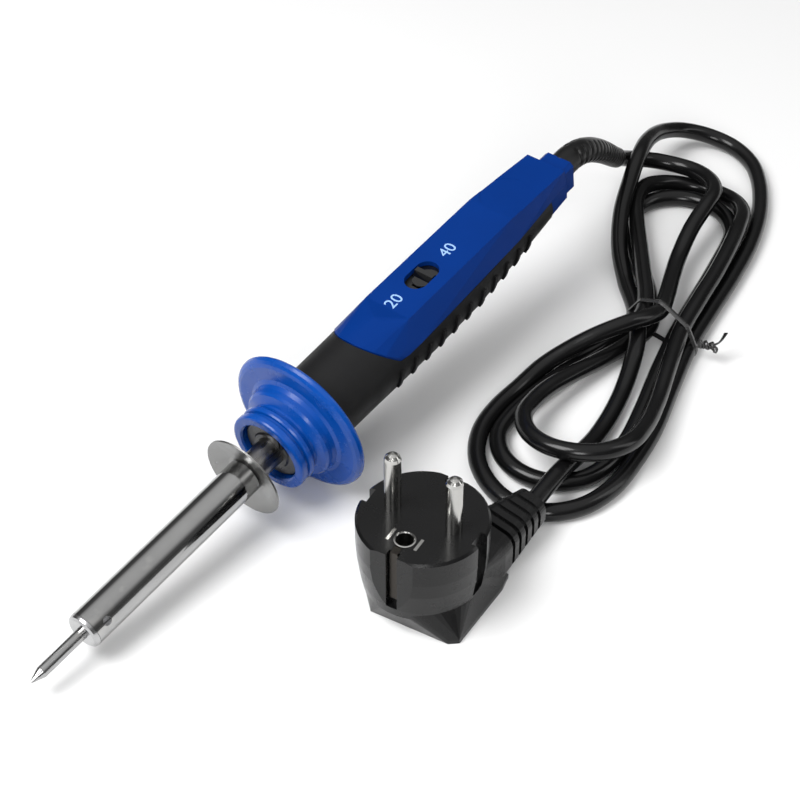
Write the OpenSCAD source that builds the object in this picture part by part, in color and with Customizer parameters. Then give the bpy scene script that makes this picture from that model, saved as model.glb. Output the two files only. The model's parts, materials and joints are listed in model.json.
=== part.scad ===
// Mains soldering iron with a two-step power switch, a guard flange and an earthed moulded plug.
// The iron lies nose down on its guard flange. Its lead is a tied hank that lies on the same bench.
// The iron's own modules are drawn along +X from the point of the tip, with the switch on top (+Z),
// and iron_pose() lays them on the bench. The plug's modules stand on the bench with the pins up.

/* [Tip and barrel] */
// Diameter of the round tip rod
tip_d = 3.5; // [3:0.1:4.5]
// Whole length of the tip, with the part inside the barrel
tip_l = 46; // [40:1:52]
// Outer diameter of the barrel
barrel_d = 11; // [10:0.5:12]
// Diameter of the thin heat shield washer
shield_d = 26.4; // [22:0.2:30]

/* [Guard flange] */
// Diameter of the guard flange
guard_d = 47; // [40:0.5:54]
// Diameter of the stepped collar in front of the guard flange
collar_d = 26.2; // [25:0.2:28]

/* [Handle] */
// Largest radius of the rubber grip
grip_r = 12.8; // [12.4:0.1:13.4]
// Height of the flat switch face above the iron's axis
face_h = 11.3; // [11:0.1:11.8]
// Half width of the flat switch face
face_w = 8.2; // [7.6:0.1:8.8]
// Number of slanted ribs on each side of the grip
rib_count = 11; // [6:1:12]
// Distance between two ribs
rib_pitch = 6.7; // [6:0.1:7]
// Length of the switch slot
slot_l = 12.6; // [12:0.1:13.4]
// Width of the switch slot
slot_w = 7.6; // [7:0.1:8]
// Travel of the power switch
switch_travel = 3; // [2:0.5:3.5]

/* [Lead and plug] */
// Diameter of the mains lead
cord_d = 5.6; // [5.4:0.1:6]
// Height of the hank of lead
hank_h = 12; // [11:0.5:14]
// Diameter of the plug's drum at its face
plug_d = 37.2; // [36:0.2:39]
// Height of the plug's face above the bench
plug_h = 30; // [28:0.5:33]
// Diameter of each contact pin
pin_d = 4.8; // [4.7:0.05:4.9]
// Length of each contact pin that stands out of the face
pin_l = 19; // [18:0.5:19.5]

/* [Pose] */
// Angle by which the nose points down while the iron rests on its guard flange
nose_down = 8; // [6:0.5:10]

/* [Hidden] */
$fn = 64;

gap = 0.1;                  // between two fixed pieces that sit in each other
run = 0.05;                 // running clearance on a radius

// stations along the iron's axis, from the point of the tip
cone_l = 4.2;               // point of the tip
barrel_x0 = 19.6;           // front face of the barrel's bush
barrel_x1 = 86.6;           // rear end of the barrel
screw_x = 25.5;             // tip screw
shield_x = 86.8;            // hub of the heat shield
collar_x0 = 96.2;           // front face of the flange's collar
base_x = 98;                // front face of the heater's base
guard_x = 108.9;            // front face of the guard flange's rim
guard_t = 3.1;              // thickness of the guard flange's rim
grip_x0 = 112.2;            // front end of the grip
nose_x = 134.6;             // front of the top cover
face_x0 = 153;              // where the flat switch face starts
slot_x = 169.5;             // middle of the switch slot
bend_x = 204;               // where the switch face starts to slope down
grip_x1 = 224;              // rear end of the grip
shell_x1 = 233;             // rear end of the handle
inlet_x1 = 240;             // rear end of the cable inlet

barrel_wall = 0.5;
neck_r = 4.5;
shell_wall = 1.7;
grip_wall = 1.6;
split_z = 3.6;              // height of the joint between cover and lower shell
nose_r = 12.3;              // radius of the cover's front end, seen from above
screw_turn = 60;            // tip screw's place round the barrel, from the top
tip_screw_r = 1.3;
handle_screw_x = [150, 198];
clamp_x = 214;
clamp_y = 4.1;

// the iron lies on the lowest edge of its guard flange, and its origin is under its middle
rim_x = 2;                  // from the guard flange's front face to its widest line
tip_z = guard_d/2*cos(nose_down) - (guard_x + rim_x)*sin(nose_down);
iron_x1 = inlet_x1*cos(nose_down) + 5.2*sin(nose_down);
module iron_pose() translate([-iron_x1/2, 0, tip_z]) rotate([0, -nose_down, 0]) children();

plug_at = [-23, -56];       // middle of the plug on the bench
plug_turn = 9;              // direction in which the lead leaves the plug
module plug_pose() translate([plug_at[0], plug_at[1], 0]) rotate([0, 0, plug_turn]) children();

// the lead's way from the handle down to the hank
boot_route = [
    [118, 0, 42.5], [123.6, 0.1, 43.2], [129.8, 0.3, 42.3], [136.2, 0.9, 39.4], [142.6, 1.9, 35.3],
    [148.9, 3.3, 30.6], [155.1, 5, 25.6], [161.2, 6.9, 20.6], [166, 8, 17]
];
lead_route = [[166, 8, 17], [172.3, 7.8, 13.3], [178.1, 5.3, 10.9]];
tail_route = [[17.5, -64.3, 9], [25.5, -63.4, 9]];

// ---------- helpers ----------

// a round bar along +X
module bar(r, x0, x1) translate([x0, 0, 0]) rotate([0, 90, 0]) cylinder(r=r, h=x1 - x0);

// a body turned about the iron's axis, from points [radius, x]
module turned(points) rotate([0, 90, 0]) rotate_extrude() polygon(points);

// a tube along +X
module pipe(r_out, r_in, x0, x1)
    turned([[r_in, x0], [r_out, x0], [r_out, x1], [r_in, x1]]);

function unit(v) = v/norm(v);
function along(p, i) = unit(p[min(i + 1, len(p) - 1)] - p[max(i - 1, 0)]);
function side(t) = unit(cross(t, abs(t[2]) > 0.9 ? [1, 0, 0] : [0, 0, 1]));

// a round tube of n sides through the points p, with radius r0 at its start and r1 at its end
module swept(p, r0, r1, n=8) {
    last = len(p) - 1;
    rings = [for (i = [0:last]) let (t = along(p, i), s = side(t), w = cross(s, t),
        r = r0 + (r1 - r0)*i/last) for (k = [0:n - 1])
            p[i] + r*(cos(360*k/n)*s + sin(360*k/n)*w)];
    walls = [for (i = [0:last - 1], k = [0:n - 1])
        [i*n + k, i*n + (k + 1)%n, (i + 1)*n + (k + 1)%n, (i + 1)*n + k]];
    ends = [[for (k = [0:n - 1]) n - 1 - k], [for (k = [0:n - 1]) last*n + k]];
    polyhedron(points=rings, faces=concat(walls, ends), convexity=6);
}

// ---------- tip, barrel and heater ----------

module soldering_tip() color("silver")
    turned([[0, 0], [0.25, 0.1], [tip_d/2, cone_l], [tip_d/2, tip_l - 0.4],
        [tip_d/2 - 0.4, tip_l], [0, tip_l]]);

// places something on the barrel's side, with +Z pointing out of it
module on_screw_axis() translate([screw_x, 0, 0]) rotate([screw_turn, 0, 0]) children();

module screw_bore() on_screw_axis() cylinder(r=tip_screw_r + run, h=barrel_d);

module tip_set_screw() color("dimgray") on_screw_axis() difference() {
    translate([0, 0, tip_d/2 + 0.15]) cylinder(r=tip_screw_r, h=barrel_d/2 - tip_d/2 - 0.35);
    translate([-2, -0.25, barrel_d/2 - 0.9]) cube([4, 0.5, 1]);
}

module tip_bush() color("silver") difference() {
    turned([[tip_d/2 + run, barrel_x0], [barrel_d/2 - 0.9, barrel_x0],
        [barrel_d/2 - 0.2, barrel_x0 + 0.5], [barrel_d/2, barrel_x0 + 1.2],
        [barrel_d/2, barrel_x0 + 1.6], [barrel_d/2 - barrel_wall - gap, barrel_x0 + 1.6],
        [barrel_d/2 - barrel_wall - gap, 34], [tip_d/2 + run, 34]]);
    screw_bore();
}

module barrel_tube() color("gainsboro") difference() {
    turned([[barrel_d/2 - barrel_wall, barrel_x0 + 1.7], [barrel_d/2, barrel_x0 + 1.7],
        [barrel_d/2, barrel_x1 - 0.4], [barrel_d/2 - 0.4, barrel_x1],
        [neck_r + gap, barrel_x1], [neck_r + gap, barrel_x1 - 1.2],
        [barrel_d/2 - barrel_wall, barrel_x1 - 1.2]]);
    screw_bore();
}

module heater_core() color("white") pipe(2.9, tip_d/2 + 0.15, 34.6, 79);

module heater_winding() color("goldenrod") {
    for (k = [0:13]) translate([37 + 3*k, 0, 0]) rotate([0, 90, 0]) rotate_extrude()
        translate([3.4, 0]) circle(r=0.3);
    translate([0, 0, 3.4]) bar(0.2, 37, 76);
}

module mica_sleeve() color("tan") pipe(4.5, 3.9, 34.6, 78.5);

module heat_shield() color("gainsboro")
    turned([[neck_r + gap, shield_x], [6.5, shield_x], [shield_d/2, shield_x - 1.6],
        [shield_d/2 + 0.1, shield_x - 1.1], [6.6, shield_x + 0.6], [neck_r + gap, shield_x + 0.6]]);

module neck_tube() color("silver") pipe(neck_r, neck_r - 0.5, 79.5, 126);

// ---------- flange ----------

module base_screw_places() for (a = [40, 220]) rotate([a, 0, 0]) translate([0, 0, 8]) rotate([-a, 0, 0])
    children();

module heater_base() color("black") difference() {
    turned([[neck_r + gap, base_x - 0.6], [5.9, base_x - 0.6], [6.3, base_x], [9.2, base_x],
        [9.7, base_x + 0.5], [9.7, base_x + 4.8], [neck_r + gap, base_x + 4.8]]);
    base_screw_places() bar(1.15, base_x - 1, base_x + 5);
}

module base_screws() color("dimgray") base_screw_places() difference() {
    union() {
        bar(1.45, base_x - 1.3, base_x - 0.02);
        bar(1.05, base_x - 1.3, base_x + 6.4);
    }
    translate([base_x - 1.6, -0.25, -3]) cube([0.9, 0.5, 6]);
}

module guard_flange() color("royalblue") difference() {
    turned([
        // stepped collar
        [9.9, collar_x0 + 0.5], [10.4, collar_x0], [collar_d/2 - 0.7, collar_x0],
        [collar_d/2 - 0.2, collar_x0 + 0.2], [collar_d/2, collar_x0 + 0.7],
        [collar_d/2, collar_x0 + 2.1], [collar_d/2 - 0.3, collar_x0 + 2.6],
        [collar_d/2 - 1, collar_x0 + 2.9], [collar_d/2 - 1, collar_x0 + 3.5],
        [collar_d/2 - 0.3, collar_x0 + 3.7], [collar_d/2, collar_x0 + 4.2],
        [collar_d/2, collar_x0 + 5.1], [collar_d/2 - 0.5, collar_x0 + 5.8],
        [collar_d/2 - 0.9, collar_x0 + 6.6], [collar_d/2 - 0.9, collar_x0 + 7.3],
        [collar_d/2 + 0.2, collar_x0 + 7.9], [collar_d/2 + 1.5, collar_x0 + 8.5],
        [collar_d/2 + 2.1, collar_x0 + 9.3], [collar_d/2 + 2.2, collar_x0 + 10.8],
        [collar_d/2 + 2.6, collar_x0 + 12.1], [collar_d/2 + 3.8, guard_x],
        // rim
        [guard_d/2 - 2.2, guard_x], [guard_d/2 - 1.1, guard_x + 0.4],
        [guard_d/2 - 0.3, guard_x + 1.1], [guard_d/2, guard_x + rim_x],
        [guard_d/2, guard_x + 2.4], [guard_d/2 - 0.3, guard_x + 2.8],
        [guard_d/2 - 0.8, guard_x + guard_t],
        // spigot that the handle is pushed on
        [8.9, guard_x + guard_t], [8.9, 120], [7.6, 120], [7.6, base_x + 7.8],
        [neck_r + 0.6, base_x + 7.8], [neck_r + 0.6, base_x + 4.9], [9.9, base_x + 4.9]]);
    base_screw_places() bar(1.07, base_x + 3, base_x + 7);
}

// ---------- handle ----------

// radius of the grip along the handle
grip_line = [[grip_x0, grip_r - 0.6], [132, grip_r - 0.4], [160, grip_r], [182, grip_r - 0.3],
    [bend_x, grip_r - 2], [grip_x1, grip_r - 3.9]];

// the handle's turned body, smaller by inset
module handle_core(inset) turned(concat([[0, grip_x0]],
    [for (p = grip_line) [p[0] > grip_x0 ? p[1] - inset : p[1] - inset, p[0]]], [[0, grip_x1]]));

// one thin cross-section of the cover's flat part, seen along the axis
module cover_slice(x, w_top, z_top, w_low, inset) translate([x, 0, 0]) rotate([90, 0, 90])
    linear_extrude(0.02) polygon([[-w_low + inset, split_z], [w_low - inset, split_z],
        [w_top - inset*0.55, z_top - inset], [-w_top + inset*0.55, z_top - inset]]);

// one thin cross-section of the cover's round front end
module nose_slice(x, inset) {
    r = grip_r - inset;
    y = sqrt(pow(nose_r - inset, 2) - pow(nose_x + nose_r - x, 2));
    half = asin(y/r);
    translate([x, 0, 0]) rotate([90, 0, 90]) linear_extrude(0.02)
        polygon(concat([[y, split_z], [-y, split_z]],
            [for (k = [-6:6]) [r*sin(half*k/6), r*cos(half*k/6)]]));
}

module cover_block(inset) {
    hull() {
        for (k = [0:5]) nose_slice(nose_x + inset + 0.15 + 12*pow(k/5, 1.8)*(1 - inset/nose_r), inset);
        cover_slice(face_x0, face_w, face_h, nose_r + 0.1, inset);
    }
    hull() {
        cover_slice(face_x0, face_w, face_h, nose_r + 0.1, inset);
        cover_slice(bend_x, face_w - 0.1, face_h, grip_r - 2.1, inset);
    }
    hull() {
        cover_slice(bend_x, face_w - 0.1, face_h, grip_r - 2.1, inset);
        cover_slice(shell_x1 - inset, face_w - 1, face_h - 2.6, 7.8, inset);
    }
}

module switch_slot(grow) hull() for (s = [-1, 1])
    translate([slot_x + s*(slot_l - slot_w)/2, 0, 5]) cylinder(r=slot_w/2 + grow, h=12, $fn=48);

// the square cable inlet at the rear end
module inlet(grow) intersection() {
    translate([shell_x1 - 4, -5.5 - grow, -5.2 - grow]) cube([inlet_x1 - shell_x1 + 4, 11 + 2*grow, 11 + 2*grow]);
    translate([0, 0, 0.3]) rotate([45, 0, 0]) translate([shell_x1 - 5, -6.9 - grow, -6.9 - grow])
        cube([20, 13.8 + 2*grow, 13.8 + 2*grow]);
}

module top_cover() color("royalblue") difference() {
    union() {
        difference() {
            cover_block(0);
            translate([0, 0, -0.01]) cover_block(shell_wall);
        }
        // posts for the handle screws
        intersection() {
            cover_block(0.4);
            for (x = handle_screw_x) translate([x, 0, split_z]) cylinder(r=2.7, h=9);
        }
    }
    switch_slot(0);
    // shallow thumb rest behind the switch face
    translate([bend_x - 0.2, 0, face_h - 0.28]) rotate([0, 4.2, 0]) translate([8.6, 0, 0])
        cylinder(r=8.6, h=3);
    inlet(gap);
    for (x = handle_screw_x) translate([x, 0, -8]) cylinder(r=1.15, h=16);
}

module lower_shell() color("mediumblue") difference() {
    union() {
        difference() {
            handle_core(grip_wall);
            handle_core(grip_wall + shell_wall);
            bar(9.0, grip_x0 - 1, 120.2);
            cover_prism(0.1);
        }
        // rear block under the cover
        difference() {
            hull() {
                rear_slice(grip_x1 + 0.1, 8.3, 8);
                rear_slice(shell_x1, 7.8, 6.4);
            }
            bar(5.4, grip_x1 - 4, shell_x1 - 2);
        }
        difference() {
            pipe(7.1, 5.4, grip_x1 - 4, grip_x1 + 1);
            cover_prism(0.1);
        }
        inlet(0);
        // seats for the handle screws and for the clamp
        intersection() {
            handle_core(grip_wall + 0.2);
            union() {
                for (x = handle_screw_x) translate([x, 0, -14]) cylinder(r=3.6, h=17.3);
                for (s = [-1, 1]) translate([clamp_x, s*clamp_y, -14]) cylinder(r=1.6, h=15);
            }
        }
    }
    bar(cord_d/2 + gap, 207.5, inlet_x1 + 1);
    for (x = handle_screw_x) {
        translate([x, 0, -14]) cylinder(r=1.25, h=20);
        translate([x, 0, -14]) cylinder(r=2.5, h=5.05);
    }
    for (s = [-1, 1]) translate([clamp_x, s*clamp_y, -3.8]) cylinder(r=0.82, h=10);
    translate([grip_x1 - 5, -20, split_z - 0.1]) cube([shell_x1 - grip_x1 + 4.9, 40, 20]);
}

module rear_slice(x, w, h) translate([x, 0, 0]) rotate([90, 0, 90]) linear_extrude(0.02)
    polygon([[-w, split_z], [-w, -h*0.35], [-w*0.62, -h], [w*0.62, -h], [w, -h*0.35], [w, split_z]]);

// the space above the joint that belongs to the cover
module cover_prism(grow) translate([0, 0, split_z - grow]) linear_extrude(30) union() {
    translate([nose_x + nose_r, 0]) circle(r=nose_r + grow);
    polygon([[nose_x + nose_r, -20], [shell_x1 + 9, -20], [shell_x1 + 9, 20], [nose_x + nose_r, 20]]);
}

module grip_sleeve() color("#1c1c1e") difference() {
    union() {
        difference() {
            handle_core(0);
            handle_core(grip_wall - gap);
            bar(grip_r - grip_wall - 0.6, grip_x0 - 1, grip_x0 + 1);
        }
        intersection() {
            difference() {
                handle_core(-0.75);
                handle_core(0.4);
            }
            for (s = [-1, 1], i = [0:rib_count - 1])
                translate([142 + i*rib_pitch, s*11, -2.2]) rotate([0, 14, 0])
                    cube([1.3, 9, 6.4], center=true);
        }
    }
    cover_prism(0.15);
    for (x = handle_screw_x) translate([x, 0, -16]) cylinder(r=3, h=10);
}

module handle_screws() color("silver") for (x = handle_screw_x) difference() {
    union() {
        translate([x, 0, -9]) cylinder(r=1.1, h=15);
        translate([x, 0, -10.8]) cylinder(r=2.3, h=1.85);
    }
    translate([x - 3, -0.3, -11.2]) cube([6, 0.6, 1.1]);
}

// ---------- switch ----------

switch_z = 8.9;             // top of the switch housing

module switch_housing() color("#202022") difference() {
    translate([slot_x - 8.6, -5.6, 1]) cube([17.2, 11.2, switch_z - 1]);
    translate([slot_x - 7.2, -4.4, 2.4]) cube([14.4, 8.8, 5]);
    translate([slot_x - 3.4, -1.6, 5]) cube([6.8, 3.2, 6]);
    for (k = [-1:1]) translate([slot_x + k*4.6 - 0.6, -1.1, -1]) cube([1.2, 2.2, 5]);
}

slider_x = slot_x + switch_travel/2;    // the slider rests at full power

module switch_slider() color("#101012") {
    hull() for (s = [-1, 1]) translate([slider_x + s*1.3, 0, switch_z + 0.1]) cylinder(r=3.3, h=0.6, $fn=48);
    translate([slider_x - 1.5, -1.3, 4.2]) cube([3, 2.6, switch_z - 3.5]);
    translate([slider_x, 0, switch_z + 0.6]) rotate([90, 0, 0]) translate([0, 0, -3.3])
        linear_extrude(6.6) polygon([[-1.9, 0], [1.9, 0], [0.8, 1.7], [-0.8, 1.7]]);
}

module switch_wiper() color("orange")
    translate([slider_x - 3.6, -2.2, 3.6]) cube([7.2, 4.4, 0.5]);

module switch_terminals() color("gold") for (k = [-1:1]) {
    translate([slot_x + k*4.6 - 0.5, -1, -2.4]) cube([1, 2, 4.9]);
    translate([slot_x + k*4.6 - 1.1, -1.7, 2.5]) cube([2.2, 3.4, 0.6]);
}

module power_diode() color("#303034") {
    translate([180.5, 2.6, -1.7]) rotate([0, 90, 0]) cylinder(r=1.35, h=5.2);
    translate([176.6, 2.6, -1.7]) rotate([0, 90, 0]) cylinder(r=0.4, h=13);
}

// ---------- wires inside the handle ----------

module heater_leads() color("antiquewhite") for (s = [-1, 1])
    swept([[79.2, 1.9*s, 0], [90, 2*s, 0], [110, 2*s, 0], [130, 3*s, 0], [145, 4.6*s, -2.4],
        [156, 4*s, -3.6]], 0.8, 0.8);

module live_wire() color("saddlebrown")
    swept([[208.1, -2, 0.6], [201, -4.4, 0.4], [193, -4.4, -1], [184, -3.4, -3.4],
        [176, -2.6, -4.6]], 0.9, 0.9);

module neutral_wire() color("steelblue")
    swept([[208.1, 2, 0.6], [202, 4.6, -0.4], [192, 5, -3], [176, 4.6, -4.6],
        [166, 4.4, -5.2], [159, 4, -5.6]], 0.9, 0.9);

module earth_wire() color("yellowgreen")
    swept([[208.1, 0, -1.9], [200, -4.6, -4], [190, -4.8, -6], [170, -4.6, -6.6],
        [150, -5.2, -5.6], [133, -4.6, -5.2], [125, -2.4, -5.4], [119, 0, -5.6]], 0.9, 0.9);

module cord_clamp() color("#202022") difference() {
    translate([clamp_x - 2.5, -clamp_y - 1.2, 1.1]) cube([5, 2*clamp_y + 2.4, 2.4]);
    bar(cord_d/2 + 0.05, clamp_x - 4, clamp_x + 4);
    for (s = [-1, 1]) translate([clamp_x, s*clamp_y, 0]) cylinder(r=0.9, h=8);
}

module clamp_screws() color("silver") for (s = [-1, 1]) translate([clamp_x, s*clamp_y, 0]) {
    translate([0, 0, -3.4]) cylinder(r=0.8, h=7.6);
    translate([0, 0, 3.55]) cylinder(r=1.2, h=0.9);
}

module lead_sheath_end() color("#151517") bar(cord_d/2, 208.2, inlet_x1);

// ---------- lead ----------

module strain_relief_boot() color("#1b1b1d") swept(boot_route, 4.4, 3.6, 16);

module cord_lead() color("#151517") swept(lead_route, cord_d/2, cord_d/2, 12);

module cord_tail() color("#151517") swept(tail_route, cord_d/2, cord_d/2, 12);

tie_at = [112, -47];
waist_r = 13;

// outline round two circles, with straight sides
module teardrop(a, ra, b, rb) {
    d = b - a;
    turn = atan2(d[1], d[0]);
    lean = acos((ra - rb)/norm(d));
    translate(a) circle(r=ra);
    translate(b) circle(r=rb);
    polygon([for (q = [[a, ra, 1], [b, rb, 1], [b, rb, -1], [a, ra, -1]])
        q[0] + 0.99*q[1]*[cos(turn + q[2]*lean), sin(turn + q[2]*lean)]]);
}

module cord_hank() color("#151517") difference() {
    linear_extrude(hank_h) difference() {
        union() {
            teardrop(tie_at, waist_r, [185.5, -13], 30);
            teardrop(tie_at, waist_r, [44.5, -51], 26);
        }
        teardrop([92, -47], 1.6, [58, -50], 8);
    }
    // the groove that the tie sits in
    translate([tie_at[0] - 1, tie_at[1] - 30, -1]) cube([2, 60, tie_t + 1.1]);
    for (s = [-1, 1]) translate([tie_at[0] - 1, tie_at[1] + s*(waist_r + 10.1) - 10, -1])
        cube([2, 20, hank_h + 2]);
}

// the tie's loop: a flat band that stands round the waist of the hank
tie_t = 0.9;                // thickness of the band
band_r = waist_r + 1.2;
module tie_band() translate([tie_at[0] - 0.9, tie_at[1], 0]) difference() {
    translate([0, -band_r, 0]) cube([1.8, 2*band_r, hank_h + 0.1 + tie_t]);
    translate([-1, -band_r + tie_t, tie_t])
        cube([4, 2*(band_r - tie_t), hank_h + 0.1 - tie_t]);
}

module cord_tie() color("#2a2a2c") {
    tie_band();
    translate([tie_at[0], tie_at[1] - band_r + 0.4, 5]) rotate([90, 0, 20]) cylinder(r=1.1, h=4);
    for (a = [5, 55]) translate([tie_at[0] + 1.2, tie_at[1] - band_r - 3, 5])
        rotate([90, 0, a]) cylinder(r=0.8, h=8);
}

// ---------- plug ----------

pin_y = 9.5;                // half the distance between the pins
pin_root_r = pin_d/2 - 0.2; // the part of each pin that is held in the plug
earth_x = -10;              // earth contact, off the line of the pins
flat_x = 17.4;              // half the distance between the two flats
drum_r = plug_d/2;
insert_r = 14.2;
insert_z = [13.5, 26];      // lower and upper side of the stiff inner bridge
strip_z = 12.5;             // lower side of the earth strip
clip_x = 15.2;              // bottom of the side grooves
socket_r = 2.5;             // earth contact's bore
socket_depth = 15;

module relief_slice(x, y, z, w, h) translate([x, y, z]) rotate([90, 0, 75]) linear_extrude(0.1)
    hull() for (a = [-1, 1], b = [-1, 1]) translate([a*(w/2 - 3.4), b*(h/2 - 3.4)])
        circle(r=3.4, $fn=24);

// the flexible outlet, with its ribs
module plug_relief() difference() {
    hull() {
        relief_slice(16.5, -9.3, 7, 18.5, 13.6);
        relief_slice(38, -14.7, 8.8, 10.6, 9.6);
    }
    for (i = [0:4]) translate([21.4 + 3.3*i, -10.6 - 0.84*i, 7.4 + 0.28*i]) rotate([0, 0, -14])
        difference() {
            cube([1.3, 30, 22], center=true);
            cube([2, 13.8 - 1.1*i, 10 - 0.6*i], center=true);
        }
}

module plug_shell() {
    difference() {
        rotate_extrude() polygon([[0, 7], [16.9, 7], [17.4, 10], [18.3, 17], [drum_r, 22],
            [drum_r, plug_h - 0.7], [drum_r - 0.7, plug_h], [0, plug_h]]);
        for (s = [-1, 1]) {
            translate([s*(flat_x + 5), 0, plug_h]) cube([10, 40, 40], center=true);
            translate([0, s*(drum_r + 1), plug_h/2 + 10]) cube([5.2, 6.4, plug_h], center=true);
        }
    }
    // back with straight edges
    hull() {
        translate([0, 0, 9.6]) cylinder(r=17.1, h=0.4, $fn=48);
        linear_extrude(1.4) polygon([[-13.4, 9], [-13.4, -15.6], [-11.6, -18.2], [12, -19.2],
            [17, -18.4], [17, 8], [11, 13.6], [-7.5, 13.6]]);
    }
    hull() {
        translate([3, -16, 0]) cube([9, 24, 13]);
        relief_slice(17, -9.4, 7, 18.5, 13.6);
    }
    plug_relief();
}

// room for the metal pieces
module contact_space(grow) {
    translate([earth_x, 0, plug_h - socket_depth - 1.5 - grow])
        cylinder(r=socket_r + 0.6 + grow, h=30);
    translate([-clip_x - 0.1, -1.3 - grow, strip_z - grow]) cube([2*clip_x + 0.2, 2.6 + 2*grow, 1.05]);
    for (s = [-1, 1]) {
        translate([0, s*pin_y, plug_h - 12.85]) cylinder(r=pin_root_r + 0.02, h=20);
        translate([s*(clip_x + 5) - 5, -1.7, strip_z - 2.4]) cube([10, 3.4, 40]);
        translate([earth_x - 2.3 - grow, s*4.3 - 0.45 - grow, plug_h - 2.8 - grow])
            cube([4.6 + 2*grow, 0.9 + 2*grow, 4]);
        translate([earth_x - 1 - grow, s*3.3 - 1, plug_h - 2.8 - grow])
            cube([2 + 2*grow, 2, 0.8 + 2*grow]);
    }
    translate([-clip_x - 0.1, -1.1 - grow, plug_h - 0.9 - grow]) cube([2 + grow, 2.2 + 2*grow, 4]);
}

module plug_body() color("#18181a") difference() {
    plug_shell();
    translate([0, 0, insert_z[0] - 0.06]) cylinder(r=insert_r + 0.05, h=insert_z[1] - insert_z[0] + 0.12);
    contact_space(0.1);
}

module plug_insert() color("#222224") difference() {
    translate([0, 0, insert_z[0]]) cylinder(r=insert_r, h=insert_z[1] - insert_z[0]);
    contact_space(0.1);
}

module plug_pins() color("silver") for (s = [-1, 1]) translate([0, s*pin_y, 0]) rotate_extrude()
    polygon([[0, plug_h - 12.8], [pin_root_r, plug_h - 12.8], [pin_root_r, plug_h + 0.02],
        [pin_d/2, plug_h + 0.02], [pin_d/2, plug_h + pin_l - 2],
        [pin_d/2 - 0.3, plug_h + pin_l - 1.1], [pin_d/2 - 1, plug_h + pin_l - 0.35],
        [pin_d/2 - 1.9, plug_h + pin_l], [0, plug_h + pin_l]]);

module earth_socket() color("silver") {
    translate([earth_x, 0, 0]) rotate_extrude()
        polygon([[0, plug_h - socket_depth - 1.5], [socket_r + 0.6, plug_h - socket_depth - 1.5],
            [socket_r + 0.6, plug_h + 0.1], [socket_r + 0.2, plug_h + 0.2], [socket_r, plug_h],
            [socket_r, plug_h - socket_depth - 0.5], [0, plug_h - socket_depth - 0.5]]);
    // spring tabs at the face
    for (s = [-1, 1]) {
        translate([earth_x - 2.3, s*4.3 - 0.45, plug_h - 2.8]) cube([4.6, 0.9, 2.85]);
        translate([earth_x - 1, s*3.4 - 0.6, plug_h - 2.8]) cube([2, 1.2, 0.8]);
    }
}

module earth_strip() color("gold") {
    translate([-clip_x - 0.8, -1.3, strip_z]) cube([2*clip_x + 1.6, 2.6, 0.8]);
    for (s = [-1, 1]) translate([s*(clip_x + 0.45) - 0.35, -1.3, strip_z]) cube([0.7, 2.6, 16.9]);
    translate([-clip_x - 0.8, -1.1, plug_h - 0.9]) cube([2.6, 2.2, 0.95]);
    translate([-clip_x - 0.8, -1.1, plug_h - 2]) cube([0.7, 2.2, 1.5]);
}

// ---------- the whole ----------

iron_pose() soldering_tip();
iron_pose() tip_set_screw();
iron_pose() tip_bush();
iron_pose() barrel_tube();
iron_pose() heater_core();
iron_pose() heater_winding();
iron_pose() mica_sleeve();
iron_pose() heat_shield();
iron_pose() neck_tube();
iron_pose() heater_base();
iron_pose() base_screws();
iron_pose() guard_flange();
iron_pose() lower_shell();
iron_pose() top_cover();
iron_pose() grip_sleeve();
iron_pose() handle_screws();
iron_pose() switch_housing();
iron_pose() switch_slider();
iron_pose() switch_wiper();
iron_pose() switch_terminals();
iron_pose() power_diode();
iron_pose() heater_leads();
iron_pose() live_wire();
iron_pose() neutral_wire();
iron_pose() earth_wire();
iron_pose() cord_clamp();
iron_pose() clamp_screws();
iron_pose() lead_sheath_end();
strain_relief_boot();
cord_lead();
cord_hank();
cord_tail();
cord_tie();
plug_pose() plug_body();
plug_pose() plug_insert();
plug_pose() plug_pins();
plug_pose() earth_socket();
plug_pose() earth_strip();
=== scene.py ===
import json
import math
import bpy
import bmesh
from mathutils import Vector, Matrix


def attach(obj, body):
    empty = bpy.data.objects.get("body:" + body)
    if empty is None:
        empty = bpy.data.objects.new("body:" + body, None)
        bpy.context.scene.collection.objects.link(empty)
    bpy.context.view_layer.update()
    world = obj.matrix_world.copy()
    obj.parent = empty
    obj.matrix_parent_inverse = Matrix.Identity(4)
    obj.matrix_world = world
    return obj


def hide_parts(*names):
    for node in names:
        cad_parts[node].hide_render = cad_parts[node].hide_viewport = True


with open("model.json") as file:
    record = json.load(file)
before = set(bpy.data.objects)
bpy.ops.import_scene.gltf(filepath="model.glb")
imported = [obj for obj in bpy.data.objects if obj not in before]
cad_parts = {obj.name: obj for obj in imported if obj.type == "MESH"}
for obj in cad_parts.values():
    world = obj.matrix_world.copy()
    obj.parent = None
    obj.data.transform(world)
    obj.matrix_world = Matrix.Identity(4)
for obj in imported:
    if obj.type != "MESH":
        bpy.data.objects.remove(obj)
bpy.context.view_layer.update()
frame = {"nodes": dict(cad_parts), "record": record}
NODES = frame["nodes"]
MM = 0.001
NOSE_DOWN = math.radians(8)             # how far the iron's axis dips towards its tip
UP = Vector((0, 0, 1))

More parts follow.
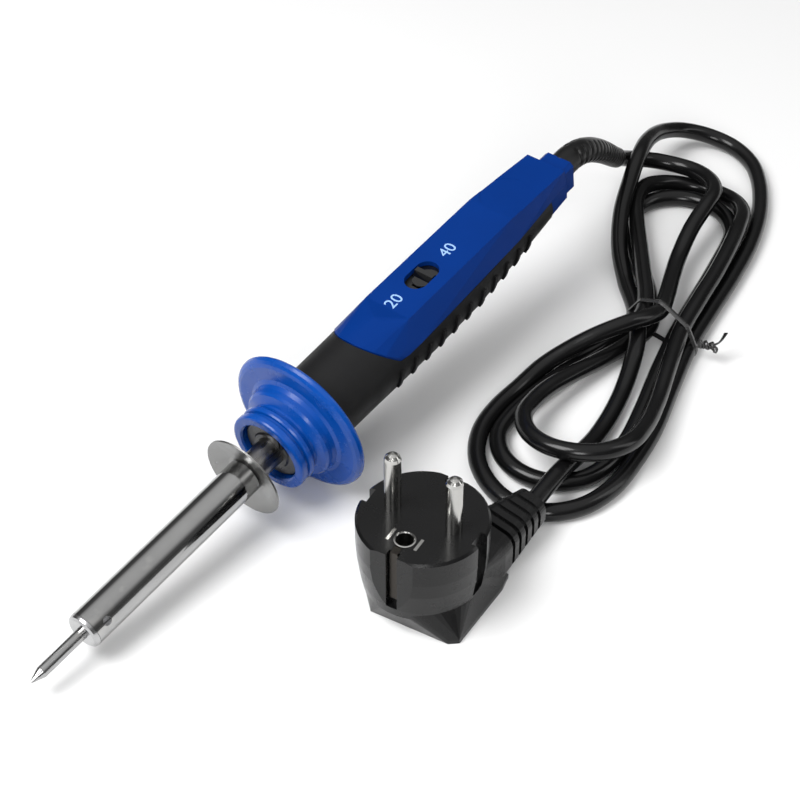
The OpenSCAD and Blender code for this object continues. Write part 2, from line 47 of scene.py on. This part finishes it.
# ---------------------------------------------------------------- stage, camera, light
scene = bpy.context.scene
cam_data = bpy.data.cameras.new("camera")
cam = bpy.data.objects.new("camera", cam_data)
scene.collection.objects.link(cam)
CAMERA_AT = (-331.6, -296.0, 421.6)     # in mm
CAMERA_AIM = (36.3, -0.3, 0.0)
cam.location = Vector(CAMERA_AT) * MM
aim = Vector(CAMERA_AIM) * MM
cam.rotation_mode = "QUATERNION"
cam.rotation_quaternion = (aim - cam.location).to_track_quat("-Z", "Y")
cam_data.lens = 91.6
cam_data.sensor_width = 36
cam_data.clip_start = 0.01
cam_data.clip_end = 20
scene.camera = cam


def new_object(name, bm):
    """A smooth-shaded object from a bmesh."""
    mesh = bpy.data.meshes.new(name)
    bm.to_mesh(mesh)
    bm.free()
    for p in mesh.polygons:
        p.use_smooth = True
    ob = bpy.data.objects.new(name, mesh)
    scene.collection.objects.link(ob)
    return ob


LIT_POINT = (0.03, 0, 0)                # what every light faces, in metres


def area(name, size, power, at, size_y=None):
    """A soft white light that faces the iron. at is in metres."""
    data = bpy.data.lights.new(name, "AREA")
    data.energy = power
    data.size = size
    if size_y:
        data.shape = "RECTANGLE"
        data.size_y = size_y
    ob = bpy.data.objects.new(name, data)
    ob.location = at
    ob.rotation_mode = "QUATERNION"
    ob.rotation_quaternion = (Vector(LIT_POINT) - Vector(at)).to_track_quat("-Z", "Y")
    scene.collection.objects.link(ob)


# ---------------------------------------------------------------- materials
class Nodes:
    """A material's node tree, with short names for what is used here."""

    def __init__(self, name):
        self.mat = bpy.data.materials.new(name)
        self.mat.use_nodes = True
        self.tree = self.mat.node_tree
        self.shader = self.tree.nodes["Principled BSDF"]
        self.coords = self.tree.nodes.new("ShaderNodeTexCoord").outputs["Object"]

    def link(self, a, b):
        self.tree.links.new(a, b)

    def stretched(self, scale, turn=(0, 0, 0)):
        n = self.tree.nodes.new("ShaderNodeMapping")
        n.inputs["Scale"].default_value = scale
        n.inputs["Rotation"].default_value = turn
        self.link(self.coords, n.inputs["Vector"])
        return n.outputs["Vector"]

    def noise(self, scale, detail=3.0, rough=0.5, coords=None):
        n = self.tree.nodes.new("ShaderNodeTexNoise")
        n.inputs["Scale"].default_value = scale
        n.inputs["Detail"].default_value = detail
        n.inputs["Roughness"].default_value = rough
        self.link(coords or self.coords, n.inputs["Vector"])
        return n.outputs["Fac"]

    def span(self, value, low, high, a=0.3, b=0.7):
        n = self.tree.nodes.new("ShaderNodeMapRange")
        n.inputs["From Min"].default_value = a
        n.inputs["From Max"].default_value = b
        n.inputs["To Min"].default_value = low
        n.inputs["To Max"].default_value = high
        self.link(value, n.inputs["Value"])
        return n.outputs["Result"]

    def ramp(self, value, stops):
        n = self.tree.nodes.new("ShaderNodeValToRGB")
        while len(n.color_ramp.elements) < len(stops):
            n.color_ramp.elements.new(0.5)
        for e, (at, colour) in zip(n.color_ramp.elements, stops):
            e.position = at
            e.color = (*colour, 1)
        self.link(value, n.inputs["Fac"])
        return n.outputs["Color"]

    def bump(self, height, strength, distance, before=None):
        n = self.tree.nodes.new("ShaderNodeBump")
        n.inputs["Strength"].default_value = strength
        n.inputs["Distance"].default_value = distance
        self.link(height, n.inputs["Height"])
        if before is not None:
            self.link(before, n.inputs["Normal"])
        return n.outputs["Normal"]

    def set(self, **values):
        names = {"metal": "Metallic", "ior": "IOR", "coat": "Coat Weight",
                 "coat_rough": "Coat Roughness", "sheen": "Sheen Weight",
                 "sheen_rough": "Sheen Roughness", "specular": "Specular IOR Level",
                 "rough": "Roughness"}
        for k, v in values.items():
            self.shader.inputs[names[k]].default_value = v


def shade(c, k):
    """The colour c made k times as bright."""
    return tuple(max(0.0, min(1.0, x * k)) for x in c)


SCUFF_DEPTH = 0.00004                   # depths of relief, in metres
STREAK_DEPTH = 0.00003


def plastic(name, colour, rough=(0.3, 0.42), grain=(1800, 0.15, 0.00006), vary=0.12, specular=0.5,
            coat=0.0, scuff=0.0, patch=60):
    """A moulded surface: grain is its scale, strength and depth, and patch the scale of its mottling."""
    n = Nodes(name)
    tone = n.noise(patch, 4)
    n.link(n.ramp(tone, [(0.25, shade(colour, 1 - vary)), (0.75, shade(colour, 1 + vary))]),
           n.shader.inputs["Base Color"])
    n.link(n.span(n.noise(patch * 3.1, 5, 0.6), *rough), n.shader.inputs["Roughness"])
    normal = n.bump(n.noise(grain[0], 3), grain[1], grain[2])
    if scuff:
        lines = n.noise(90, 6, 0.75, n.stretched((1, 9, 9), (0.2, 0.3, 0.5)))
        normal = n.bump(lines, scuff, SCUFF_DEPTH, normal)
    n.link(normal, n.shader.inputs["Normal"])
    n.set(specular=specular, coat=coat, coat_rough=0.12)
    return n.mat


def metal(name, colour, rough=(0.12, 0.25), streak=(8, 900, 900), strength=0.12, vary=0.06,
          turn=(0, 0, 0), stain=None):
    """A metal with drawing marks: streak is their scale along each axis, after turn, and stain a patina."""
    n = Nodes(name)
    drawn = n.noise(1, 5, 0.6, n.stretched(streak, turn))
    blot = n.noise(45, 4, 0.6)
    stops = [(0.3, shade(colour, 1 - vary)), (0.7, shade(colour, 1 + vary))]
    if stain:
        stops = [(0.2, stain)] + [(0.42, stops[0][1]), (0.75, stops[1][1])]
    n.link(n.ramp(blot, stops), n.shader.inputs["Base Color"])
    n.link(n.span(drawn, *rough), n.shader.inputs["Roughness"])
    n.link(n.bump(drawn, strength, STREAK_DEPTH), n.shader.inputs["Normal"])
    n.set(metal=1.0)
    return n.mat


ALONG = (0, NOSE_DOWN, 0)               # turns the drawing marks along the iron
FINISHES = {
    # tip and barrel
    "tip_plating": (metal, dict(colour=(0.42, 0.42, 0.42), rough=(0.12, 0.30), streak=(60, 1500, 1500),
                                strength=0.25, vary=0.12, turn=ALONG, stain=(0.32, 0.30, 0.28))),
    "screw_steel": (metal, dict(colour=(0.38, 0.38, 0.39), rough=(0.25, 0.42), streak=(700, 700, 700),
                                strength=0.2, vary=0.15)),
    "black_screw": (metal, dict(colour=(0.055, 0.055, 0.058), rough=(0.25, 0.4), streak=(700, 700, 700),
                                strength=0.2, vary=0.15)),
    "bush_steel": (metal, dict(colour=(0.46, 0.46, 0.465), rough=(0.14, 0.26), streak=(60, 900, 900),
                               strength=0.15, turn=ALONG)),
    "barrel_chrome": (metal, dict(colour=(0.38, 0.38, 0.378), rough=(0.06, 0.14), streak=(5, 420, 420),
                                  strength=0.10, vary=0.05, turn=ALONG, stain=(0.60, 0.59, 0.57))),
    "shield_steel": (metal, dict(colour=(0.27, 0.27, 0.265), rough=(0.26, 0.40), streak=(300, 300, 300),
                                 strength=0.16, vary=0.08)),
    "neck_steel": (metal, dict(colour=(0.20, 0.195, 0.19), rough=(0.22, 0.38), streak=(40, 800, 800),
                               strength=0.2, vary=0.15, turn=ALONG, stain=(0.07, 0.06, 0.055))),
    # heater and its base
    "heater_ceramic": (plastic, dict(colour=(0.78, 0.75, 0.68), rough=(0.6, 0.8))),
    "resistance_wire": (metal, dict(colour=(0.42, 0.34, 0.26), rough=(0.3, 0.45))),
    "mica": (plastic, dict(colour=(0.55, 0.44, 0.28), rough=(0.25, 0.4))),
    "phenolic_black": (plastic, dict(colour=(0.008, 0.0075, 0.007), rough=(0.22, 0.42),
                                     grain=(900, 0.3, 0.0001))),
    # handle
    "blue_gloss": (plastic, dict(colour=(0.001, 0.055, 0.30), rough=(0.20, 0.30), grain=(900, 0.06, 0.00005),
                                 vary=0.07, specular=0.28, coat=0.08, scuff=0.10)),
    "blue_satin": (plastic, dict(colour=(0.0004, 0.026, 0.175), rough=(0.34, 0.44),
                                 grain=(2600, 0.30, 0.00006), vary=0.06, specular=0.07, scuff=0.06)),
    "grip_rubber": (plastic, dict(colour=(0.0065, 0.0065, 0.007), rough=(0.46, 0.62),
                                  grain=(2200, 0.45, 0.00009), vary=0.25, specular=0.22, scuff=0.2)),
    "switch_black": (plastic, dict(colour=(0.012, 0.012, 0.012), rough=(0.4, 0.5))),
    "slider_black": (plastic, dict(colour=(0.003, 0.003, 0.0035), rough=(0.10, 0.18),
                                   grain=(1500, 0.08, 0.00005), coat=0.4)),
    "contact_brass": (metal, dict(colour=(0.72, 0.52, 0.22), rough=(0.2, 0.35))),
    "diode_black": (plastic, dict(colour=(0.02, 0.02, 0.02), rough=(0.3, 0.4))),
    # wires
    "glass_braid": (plastic, dict(colour=(0.75, 0.73, 0.66), rough=(0.7, 0.85), grain=(1400, 0.8, 0.0003))),
    "wire_brown": (plastic, dict(colour=(0.16, 0.06, 0.02), rough=(0.3, 0.4))),
    "wire_blue": (plastic, dict(colour=(0.03, 0.12, 0.42), rough=(0.3, 0.4))),
    "wire_green_yellow": (plastic, dict(colour=(0.30, 0.44, 0.03), rough=(0.3, 0.4))),
    # lead, tie and plug
    "cord_pvc": (plastic, dict(colour=(0.0045, 0.0045, 0.0047), rough=(0.15, 0.27),
                               grain=(700, 0.10, 0.00008), vary=0.3, specular=0.26, coat=0.08, scuff=0.05,
                               patch=35)),
    "boot_rubber": (plastic, dict(colour=(0.006, 0.006, 0.0062), rough=(0.28, 0.42),
                                  grain=(1600, 0.25, 0.00007), vary=0.2, specular=0.3)),
    "tie_plastic": (plastic, dict(colour=(0.022, 0.022, 0.022), rough=(0.18, 0.3),
                                  grain=(1200, 0.2, 0.00006), vary=0.3, specular=0.6, coat=0.4)),
    "plug_pvc": (plastic, dict(colour=(0.0045, 0.0045, 0.0047), rough=(0.18, 0.32),
                               grain=(1500, 0.12, 0.00006), vary=0.3, specular=0.26, coat=0.08, scuff=0.12)),
    "insert_black": (plastic, dict(colour=(0.012, 0.012, 0.013), rough=(0.10, 0.22),
                                   grain=(600, 0.05, 0.00006), vary=0.3, coat=0.5, scuff=0.12)),
    "pin_nickel": (metal, dict(colour=(0.48, 0.475, 0.46), rough=(0.12, 0.24), streak=(700, 700, 20),
                               strength=0.10)),
    # painted shade: the earth strip's nickel is coloured almost black for the shadow deep in the plug's
    # groove, not for its own colour
    "strip_nickel": (metal, dict(colour=(0.05, 0.045, 0.04), rough=(0.25, 0.4), streak=(700, 700, 30),
                                 strength=0.15, vary=0.1)),
}
M = {name: make(name, **look) for name, (make, look) in FINISHES.items()}

SLOT = {r["node"]: r["material_slot"] for r in frame["record"]["subparts"]}
for node, ob in NODES.items():
    m = M[SLOT[node]]
    if ob.material_slots:
        for s in ob.material_slots:
            s.material = m
    else:
        ob.data.materials.append(m)


def finish_piece(ob, slot_name, stand_for=()):
    """Give a new piece its material. Every new piece rides on the iron."""
    ob.data.materials.append(M[slot_name])
    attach(ob, "iron")
    if stand_for:
        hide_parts(*stand_for)


# ---------------------------------------------------------------- the lead's route, in mm
TIE_X = 112                             # the tie's place: each half turn of the hank ends there
BENCH = 2.8                             # height of the lead's middle where it lies on the bench


def round_end(centre, radius, first, last, heights):
    """Points of a turn's round end, evenly spaced between two angles in degrees."""
    steps = len(heights) - 1
    angles = [math.radians(first + (last - first) * k / steps) for k in range(steps + 1)]
    return [(centre[0] + radius * math.cos(a), centre[1] + radius * math.sin(a), z)
            for a, z in zip(angles, heights)]


LEAD = [
    (118, 0, 42.5), (123.6, 0.1, 43.2), (129.8, 0.3, 42.3), (136.2, 0.9, 39.4), (142.6, 1.9, 35.3),
    (148.9, 3.3, 30.6), (155.1, 5, 25.6), (161.2, 6.9, 20.6), (166, 8, 17)]
TURN = [
    (172.3, 7.8, 13.3), (178.1, 5.3, 10.9), (182.6, 0.8, 9.5), (185.3, -5.1, 8.9), (185.8, -11.5, 9.3),
    (184, -17.6, 10.1), (180.1, -22.7, 11.2), (174.7, -26, 12), (168.4, -27.4, 12), (156, -29.4, 10.2),
    (143, -33, 7.8), (132, -37.5, 8), (122, -42, 9.2), (TIE_X, -45.8, 11)]
FIRST_LOWER = [
    (104, -45.6, 13.2), (97, -43, 14), (89, -38, 12.2), (81, -33, 9), (72, -29, 5.6), (62, -27.6, 3.2),
    (50, -27.6, BENCH), (38, -30.2, BENCH), (27.5, -37, BENCH), (21, -46.8, BENCH), (19, -57, BENCH),
    (22.5, -66.5, BENCH), (31, -73, BENCH), (43, -75.4, BENCH), (57, -74, BENCH), (72, -70.8, BENCH),
    (90, -64.8, BENCH), (TIE_X, -57.8, BENCH)]
LARGE_UPPER = [
    (130, -53.9, BENCH), (150, -49.9, BENCH), (170, -44.8, BENCH), (188, -37.5, BENCH),
    (202.5, -28.2, BENCH), (210.8, -19.6, BENCH), (214.6, -9.8, 3.2), (212.6, -0.9, 5), (206, 5.9, 8),
    (195.4, 8.4, 12), (183.4, 6.6, 15.8), (171.6, 2.6, 17.6), (159.5, -1.8, 15), (147.4, -6.8, 10.8),
    (136.4, -14, 5.8), (126, -23.8, BENCH), (TIE_X, -36.6, BENCH)]
SECOND_LOWER = [
    (98, -36.4, BENCH), (84, -35, BENCH), (70, -33.8, BENCH), (59, -33.2, BENCH),
    *round_end((48.5, -51), 17.5, 90, 270, [BENCH] * 7),
    (62, -67.4, BENCH), (77, -63.2, BENCH), (94, -57.4, BENCH), (TIE_X, -52, BENCH)]
SMALL_UPPER = [
    (127, -48.3, BENCH), (142, -45, BENCH), (156, -41.6, BENCH), (163.6, -39.6, BENCH),
    (171.2, -36.6, BENCH),
    *round_end((162.3, -21.5), 17.4, -30, 90, [BENCH] * 5),
    (153.2, -6.8, BENCH), (145, -13.4, BENCH), (136, -22.8, BENCH), (125.5, -33.4, BENCH),
    (TIE_X, -42.5, BENCH)]
THIRD_LOWER = [
    (98, -41.8, 3), (84, -40.4, 5), (72, -39, 7), (63, -38.2, 8.4),
    *round_end((54, -56), 17.5, 90, 270, [9.3, 10.4, 11.7, 13, 13.8, 13.4, 12.2]),
    (64, -72, 10.2), (77, -67.8, 8.4), (94, -61.2, 8.4), (TIE_X, -54.5, 8)]
TOP_UPPER = [
    (127, -51, 8.4), (142, -47.8, 8.4), (157, -43.9, 8.4), (168.5, -40.2, 8),
    *round_end((169.2, -20.4), 18, -60, 30, [6.8, 4.6, 3.2, 3.4]),
    (178.4, -4.8, 5.2), (169.4, -2.2, 7.6), (159.6, -4.8, 8.4), (149.6, -11.8, 8.4), (138, -21, 8.4),
    (126, -30.4, 8.4), (119, -35.8, 8.4), (TIE_X, -40, 8.4)]
HANK = TURN + FIRST_LOWER + LARGE_UPPER + SECOND_LOWER + SMALL_UPPER + THIRD_LOWER + TOP_UPPER
TAIL = [
    (105, -42.4, 8.4), (98, -46.6, 7), (90, -50, 4.4), (80, -53.6, 2.9), (70, -56.6, BENCH),
    (57, -59.4, 3.4), (45, -61.2, 6), (35, -62.4, 8.4), (25.5, -63.4, 9), (17.5, -64.3, 9)]
CORD_D = 5.6
FLOOR_GAP = 0.02                        # keeps the lead's underside off the bench


def smooth_line(points, steps):
    """Centripetal Catmull-Rom curve through the points."""
    p = [Vector(q) for q in points]
    p = [2 * p[0] - p[1], *p, 2 * p[-1] - p[-2]]
    out = []
    for i in range(1, len(p) - 2):
        a, b, c, d = p[i - 1:i + 3]
        t1 = (b - a).length ** 0.5
        t2 = t1 + (c - b).length ** 0.5
        t3 = t2 + (d - c).length ** 0.5
        for k in range(steps):
            t = t1 + (t2 - t1) * k / steps
            m1 = a * ((t1 - t) / t1) + b * (t / t1)
            m2 = b * ((t2 - t) / (t2 - t1)) + c * ((t - t1) / (t2 - t1))
            m3 = c * ((t3 - t) / (t3 - t2)) + d * ((t - t2) / (t3 - t2))
            n1 = m1 * ((t2 - t) / t2) + m2 * (t / t2)
            n2 = m2 * ((t3 - t) / (t3 - t1)) + m3 * ((t - t1) / (t3 - t1))
            out.append(n1 * ((t2 - t) / (t2 - t1)) + n2 * ((t - t1) / (t2 - t1)))
    out.append(p[-2])
    return out


def even(points, step):
    """The same line with its points a fixed distance apart, and the line's length."""
    run = [0.0]
    for a, b in zip(points, points[1:]):
        run.append(run[-1] + (b - a).length)
    n = max(2, round(run[-1] / step))
    out, j = [], 0
    for k in range(n + 1):
        s = run[-1] * k / n
        while j < len(run) - 2 and run[j + 1] < s:
            j += 1
        f = (s - run[j]) / max(run[j + 1] - run[j], 1e-9)
        out.append(points[j].lerp(points[j + 1], min(1.0, f)))
    return out, run[-1]


def frames(points):
    """For each point: two directions across the line, without twist."""
    out = []
    t = (points[1] - points[0]).normalized()
    n = (UP - t * UP.dot(t)).normalized()
    for i in range(len(points)):
        a = points[max(i - 1, 0)]
        b = points[min(i + 1, len(points) - 1)]
        t = (b - a).normalized()
        n = (n - t * n.dot(t)).normalized()
        out.append((n, t.cross(n)))
    return out


def skin(name, rings, closed=False):
    """A mesh object over rings of corners, with flat ends unless the rings close on themselves."""
    bm = bmesh.new()
    rings = [[bm.verts.new(corner * MM) for corner in ring] for ring in rings]
    pairs = list(zip(rings, rings[1:])) + ([(rings[-1], rings[0])] if closed else [])
    around = len(rings[0])
    for a, b in pairs:
        for k in range(around):
            j = (k + 1) % around
            bm.faces.new((a[k], a[j], b[j], b[k]))
    if not closed:
        bm.faces.new(rings[0][::-1])
        bm.faces.new(rings[-1])
    bmesh.ops.recalc_face_normals(bm, faces=bm.faces)
    return new_object(name, bm)


def sweep(name, points, radius, around):
    """A tube along the points, in mm. radius(distance, angle) is in mm, with angle 0 on the up side."""
    rings = []
    s = 0.0
    for i, (p, (n, b)) in enumerate(zip(points, frames(points))):
        if i:
            s += (p - points[i - 1]).length
        ring = []
        for k in range(around):
            a = 2 * math.pi * k / around
            r = radius(s, a)
            ring.append(p + n * (r * math.cos(a)) + b * (r * math.sin(a)))
        rings.append(ring)
    return skin(name, rings)


def curve_tube(name, points, radius):
    """A round tube as a curve, along points in mm."""
    data = bpy.data.curves.new(name, "CURVE")
    data.dimensions = "3D"
    data.bevel_depth = radius * MM
    data.bevel_resolution = 8
    data.use_fill_caps = True
    sp = data.splines.new("POLY")
    sp.points.add(len(points) - 1)
    for q, p in zip(sp.points, points):
        q.co = (*(p * MM), 1)
    sp.use_smooth = True
    ob = bpy.data.objects.new(name, data)
    scene.collection.objects.link(ob)
    return ob


SPLINE_STEPS = 14                       # points of the smooth curve between two route points
route, route_len = even(smooth_line(LEAD + HANK + TAIL, SPLINE_STEPS), 1.6)
for p in route:
    p.z = max(p.z, CORD_D / 2 + FLOOR_GAP)
cord = curve_tube("mains_lead", route, CORD_D / 2)
finish_piece(cord, "cord_pvc", stand_for=("cord_lead", "cord_hank", "cord_tail"))

# ---------------------------------------------------------------- strain relief boot
BOOT_L = 57.0
BOOT_R = (4.55, 3.55)                   # at the handle, and at the thin end
RIB_PITCH = 3.3
FIRST_RIB = 5.0
GROOVE_DEPTH = 0.95
boot_line = even(smooth_line(LEAD + TURN[:2], SPLINE_STEPS), 0.25)[0]
cut, s = [boot_line[0]], 0.0
for a, b in zip(boot_line, boot_line[1:]):
    s += (b - a).length
    if s > BOOT_L:
        break
    cut.append(b)


def boot_radius(s, a):
    """The ribbed boot's radius at a distance along it and an angle round it."""
    lip = 1.2
    plain_end = 2.5
    r = BOOT_R[0] + (BOOT_R[1] - BOOT_R[0]) * s / BOOT_L
    if s > BOOT_L - lip:
        r -= 0.35 * ((s - BOOT_L + lip) / lip) ** 2
    if s < FIRST_RIB or s > BOOT_L - plain_end:
        return r
    w = ((s - FIRST_RIB) % RIB_PITCH) / RIB_PITCH
    groove = max(0.0, min(1.0, (0.23 - abs(w - 0.5)) / 0.09))
    # the grooves stop short of a spine on the upper and lower side
    spine = abs(math.cos(a - math.pi / 2 * (1 if a < math.pi else 3)))
    side = max(0.0, min(1.0, (spine - 0.38) / 0.16))
    return r - GROOVE_DEPTH * groove * side


boot = sweep("strain_relief_sleeve", cut, boot_radius, 56)
finish_piece(boot, "boot_rubber", stand_for=("strain_relief_boot",))

# ---------------------------------------------------------------- wire tie round the hank
TIE_R = 3.25                            # from a strand's middle to the tie's own middle
TIE_LOW = 0.25                          # the tie's lowest middle, on the bench
LEAN = 0.10                             # how far the tie leans along the hank, per mm across it
HANK_MIDDLE_Y = -47
AROUND = 36
cloud = []
for x, y, z in HANK:
    if x == TIE_X:
        for k in range(AROUND):
            a = 2 * math.pi * k / AROUND
            cloud.append((y + TIE_R * math.cos(a), max(TIE_LOW, z + TIE_R * math.sin(a))))
cloud = sorted(set(cloud))


def half_hull(points):
    """One side of the convex outline of sorted points."""
    h = []
    for p in points:
        while len(h) > 1 and ((h[-1][0] - h[-2][0]) * (p[1] - h[-2][1])
                              - (h[-1][1] - h[-2][1]) * (p[0] - h[-2][0])) <= 0:
            h.pop()
        h.append(p)
    return h


ring2d = half_hull(cloud)[:-1] + half_hull(cloud[::-1])[:-1]
ring = [Vector((TIE_X + (y - HANK_MIDDLE_Y) * LEAN, y, z)) for y, z in ring2d]
ring = even(ring + [ring[0]], 0.8)[0]


def strip_profile(width, thick, bead):
    """The outline across a flat strip, with a wire core of radius bead showing on its upper face."""
    side, edge = width / 2, width / 2 - 0.1
    core, foot = bead * 0.5, bead * 1.1
    face = thick / 2
    upper = [(-side, 0), (-edge, face), (-foot, face), (-core, bead), (core, bead), (foot, face),
             (edge, face), (side, 0)]
    lower = [(edge, -face), (foot, -face), (-foot, -face), (-edge, -face)]
    return upper + lower


def ribbon(name, points, width, thick, bead, flat, closed=False, twist=0.0):
    """A flat strip with a round wire core along its middle. flat is the direction of its width."""
    profile = strip_profile(width, thick, bead)
    rings = []
    n = len(points)
    for i, p in enumerate(points):
        a = points[(i - 1) % n] if closed else points[max(i - 1, 0)]
        b = points[(i + 1) % n] if closed else points[min(i + 1, n - 1)]
        t = (b - a).normalized()
        w = (flat - t * flat.dot(t)).normalized()
        h = t.cross(w)
        if twist:
            turned = Matrix.Rotation(twist * i / (n - 1), 3, t)
            w, h = turned @ w, turned @ h
        rings.append([p + w * x + h * y for x, y in profile])
    return skin(name, rings, closed)


tie_loop = ribbon("tie_loop", ring[:-1], 2.0, 0.28, 0.38, flat=Vector((1, 0, 0)), closed=True)
knot = Vector((TIE_X - 1.4, -61.4, 6.4))
out_dir = Vector((0.30, -1.0, 0.10)).normalized()
cross1 = out_dir.cross(UP).normalized()
cross2 = out_dir.cross(cross1)
TWIST_L = 5.2                           # length of the twisted stretch
TWIST_R = 0.62
TWIST_ANGLE = 5.2 * math.pi
TWIST_STEPS = 25
END_STEPS = 12


def tail_points(phase, spread, reach):
    """One of the tie's two ends: twisted with the other, then free towards spread."""
    pts = []
    for k in range(TWIST_STEPS + 1):
        f = k / TWIST_STEPS
        a = phase + TWIST_ANGLE * f
        pts.append(knot + out_dir * (TWIST_L * f) + (cross1 * math.cos(a) + cross2 * math.sin(a)) * TWIST_R)
    last = pts[-1]
    for k in range(1, END_STEPS + 1):
        f = k / END_STEPS
        pts.append(last + (out_dir * (1 - 0.4 * f) + spread * (0.6 + f)) * (reach * f))
    return pts


tie_a = ribbon("tie_end_long", tail_points(0, Vector((0.75, 0.15, 0.38)), 3.4), 1.9, 0.30, 0.42,
               flat=Vector((0, 0.3, 1)), twist=1.2)
tie_b = ribbon("tie_end_short", tail_points(math.pi, Vector((-0.35, 0.1, -0.25)), 2.4), 1.9, 0.30, 0.42,
               flat=Vector((0.2, 0, 1)), twist=-1.0)
finish_piece(tie_loop, "tie_plastic", stand_for=("cord_tie",))
finish_piece(tie_a, "tie_plastic")
finish_piece(tie_b, "tie_plastic")

# ---------------------------------------------------------------- marks beside the switch
# the iron's own frame, in which u runs along its axis from the tip
IRON_L = 240.0
INLET_LOW = 5.2                         # the cable inlet's lower face is this far below the axis
FLANGE_R = 23.5
FLANGE_U = 110.9                        # rear face of the flange's rim
COVER_TOP = 11.33                       # the printed face's height above the axis
MARK_H = 4.1
CAPITALS = 0.72                         # height of a digit as a part of the font's size
INK_DEPTH = 0.012
IRON_X1 = IRON_L * math.cos(NOSE_DOWN) + INLET_LOW * math.sin(NOSE_DOWN)
TIP_Z = FLANGE_R * math.cos(NOSE_DOWN) - FLANGE_U * math.sin(NOSE_DOWN)
IRON = (Matrix.Translation(Vector((-IRON_X1 / 2, 0, TIP_Z)) * MM)
        @ Matrix.Rotation(-NOSE_DOWN, 4, "Y"))


def mark(name, text, u):
    """A number printed on the cover, with its middle at u."""
    data = bpy.data.curves.new(name, "FONT")
    data.body = text
    data.size = MARK_H / CAPITALS * MM
    data.align_x = "CENTER"
    data.align_y = "CENTER"
    data.extrude = INK_DEPTH * MM
    tmp = bpy.data.objects.new(name + "_text", data)
    scene.collection.objects.link(tmp)
    dg = bpy.context.evaluated_depsgraph_get()
    mesh = bpy.data.meshes.new_from_object(tmp.evaluated_get(dg))
    bpy.data.objects.remove(tmp)
    mesh.name = name
    mesh.materials.clear()
    mesh.transform(IRON @ Matrix.Translation(Vector((u, 0, COVER_TOP)) * MM))
    ob = bpy.data.objects.new(name, mesh)
    scene.collection.objects.link(ob)
    return ob


ink = plastic("pad_print", colour=(0.28, 0.46, 0.74), rough=(0.4, 0.55), grain=(2400, 0.3, 0.00004),
              vary=0.08)
for name, text, u in (("mark_low", "20", 156.2), ("mark_high", "40", 182.3)):
    ob = mark(name, text, u)
    ob.data.materials.append(ink)
    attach(ob, "iron")

# ---------------------------------------------------------------- floor and light
FLOOR_HALF = 3.0                        # metres
bm = bmesh.new()
bmesh.ops.create_grid(bm, x_segments=2, y_segments=2, size=FLOOR_HALF)
floor = new_object("floor", bm)
fn = Nodes("floor")
fn.link(fn.ramp(fn.noise(3, 2), [(0.3, (0.79, 0.79, 0.79)), (0.7, (0.82, 0.82, 0.82))]),
        fn.shader.inputs["Base Color"])
fn.set(rough=0.75, specular=0.2)
floor.data.materials.append(fn.mat)

# dark near the horizon, so that the metal has contrast, and bright overhead
SKY_STOPS = ((0.0, 0.25), (0.25, 0.10), (0.55, 0.16), (0.80, 0.85), (1.0, 1.0))
SKY_STRENGTH = 0.85
world = bpy.data.worlds.new("studio")
scene.world = world
world.use_nodes = True
bg = world.node_tree.nodes["Background"]
sky = world.node_tree
way = sky.nodes.new("ShaderNodeTexCoord")
split = sky.nodes.new("ShaderNodeSeparateXYZ")
fade = sky.nodes.new("ShaderNodeValToRGB")
sky.links.new(way.outputs["Generated"], split.inputs["Vector"])
sky.links.new(split.outputs["Z"], fade.inputs["Fac"])
sky.links.new(fade.outputs["Color"], bg.inputs["Color"])
while len(fade.color_ramp.elements) < len(SKY_STOPS):
    fade.color_ramp.elements.new(0.5)
for e, (at, v) in zip(fade.color_ramp.elements, SKY_STOPS):
    e.position = at
    e.color = (v, v, v, 1)
bg.inputs["Strength"].default_value = SKY_STRENGTH
scene.view_settings.view_transform = "Standard"
area("key", 0.55, 10, (-0.45, 0.20, 0.85))
area("front", 0.35, 4, (-0.75, -0.55, 0.55))
area("side", 0.25, 1.5, (0.55, -0.75, 0.5), size_y=0.9)
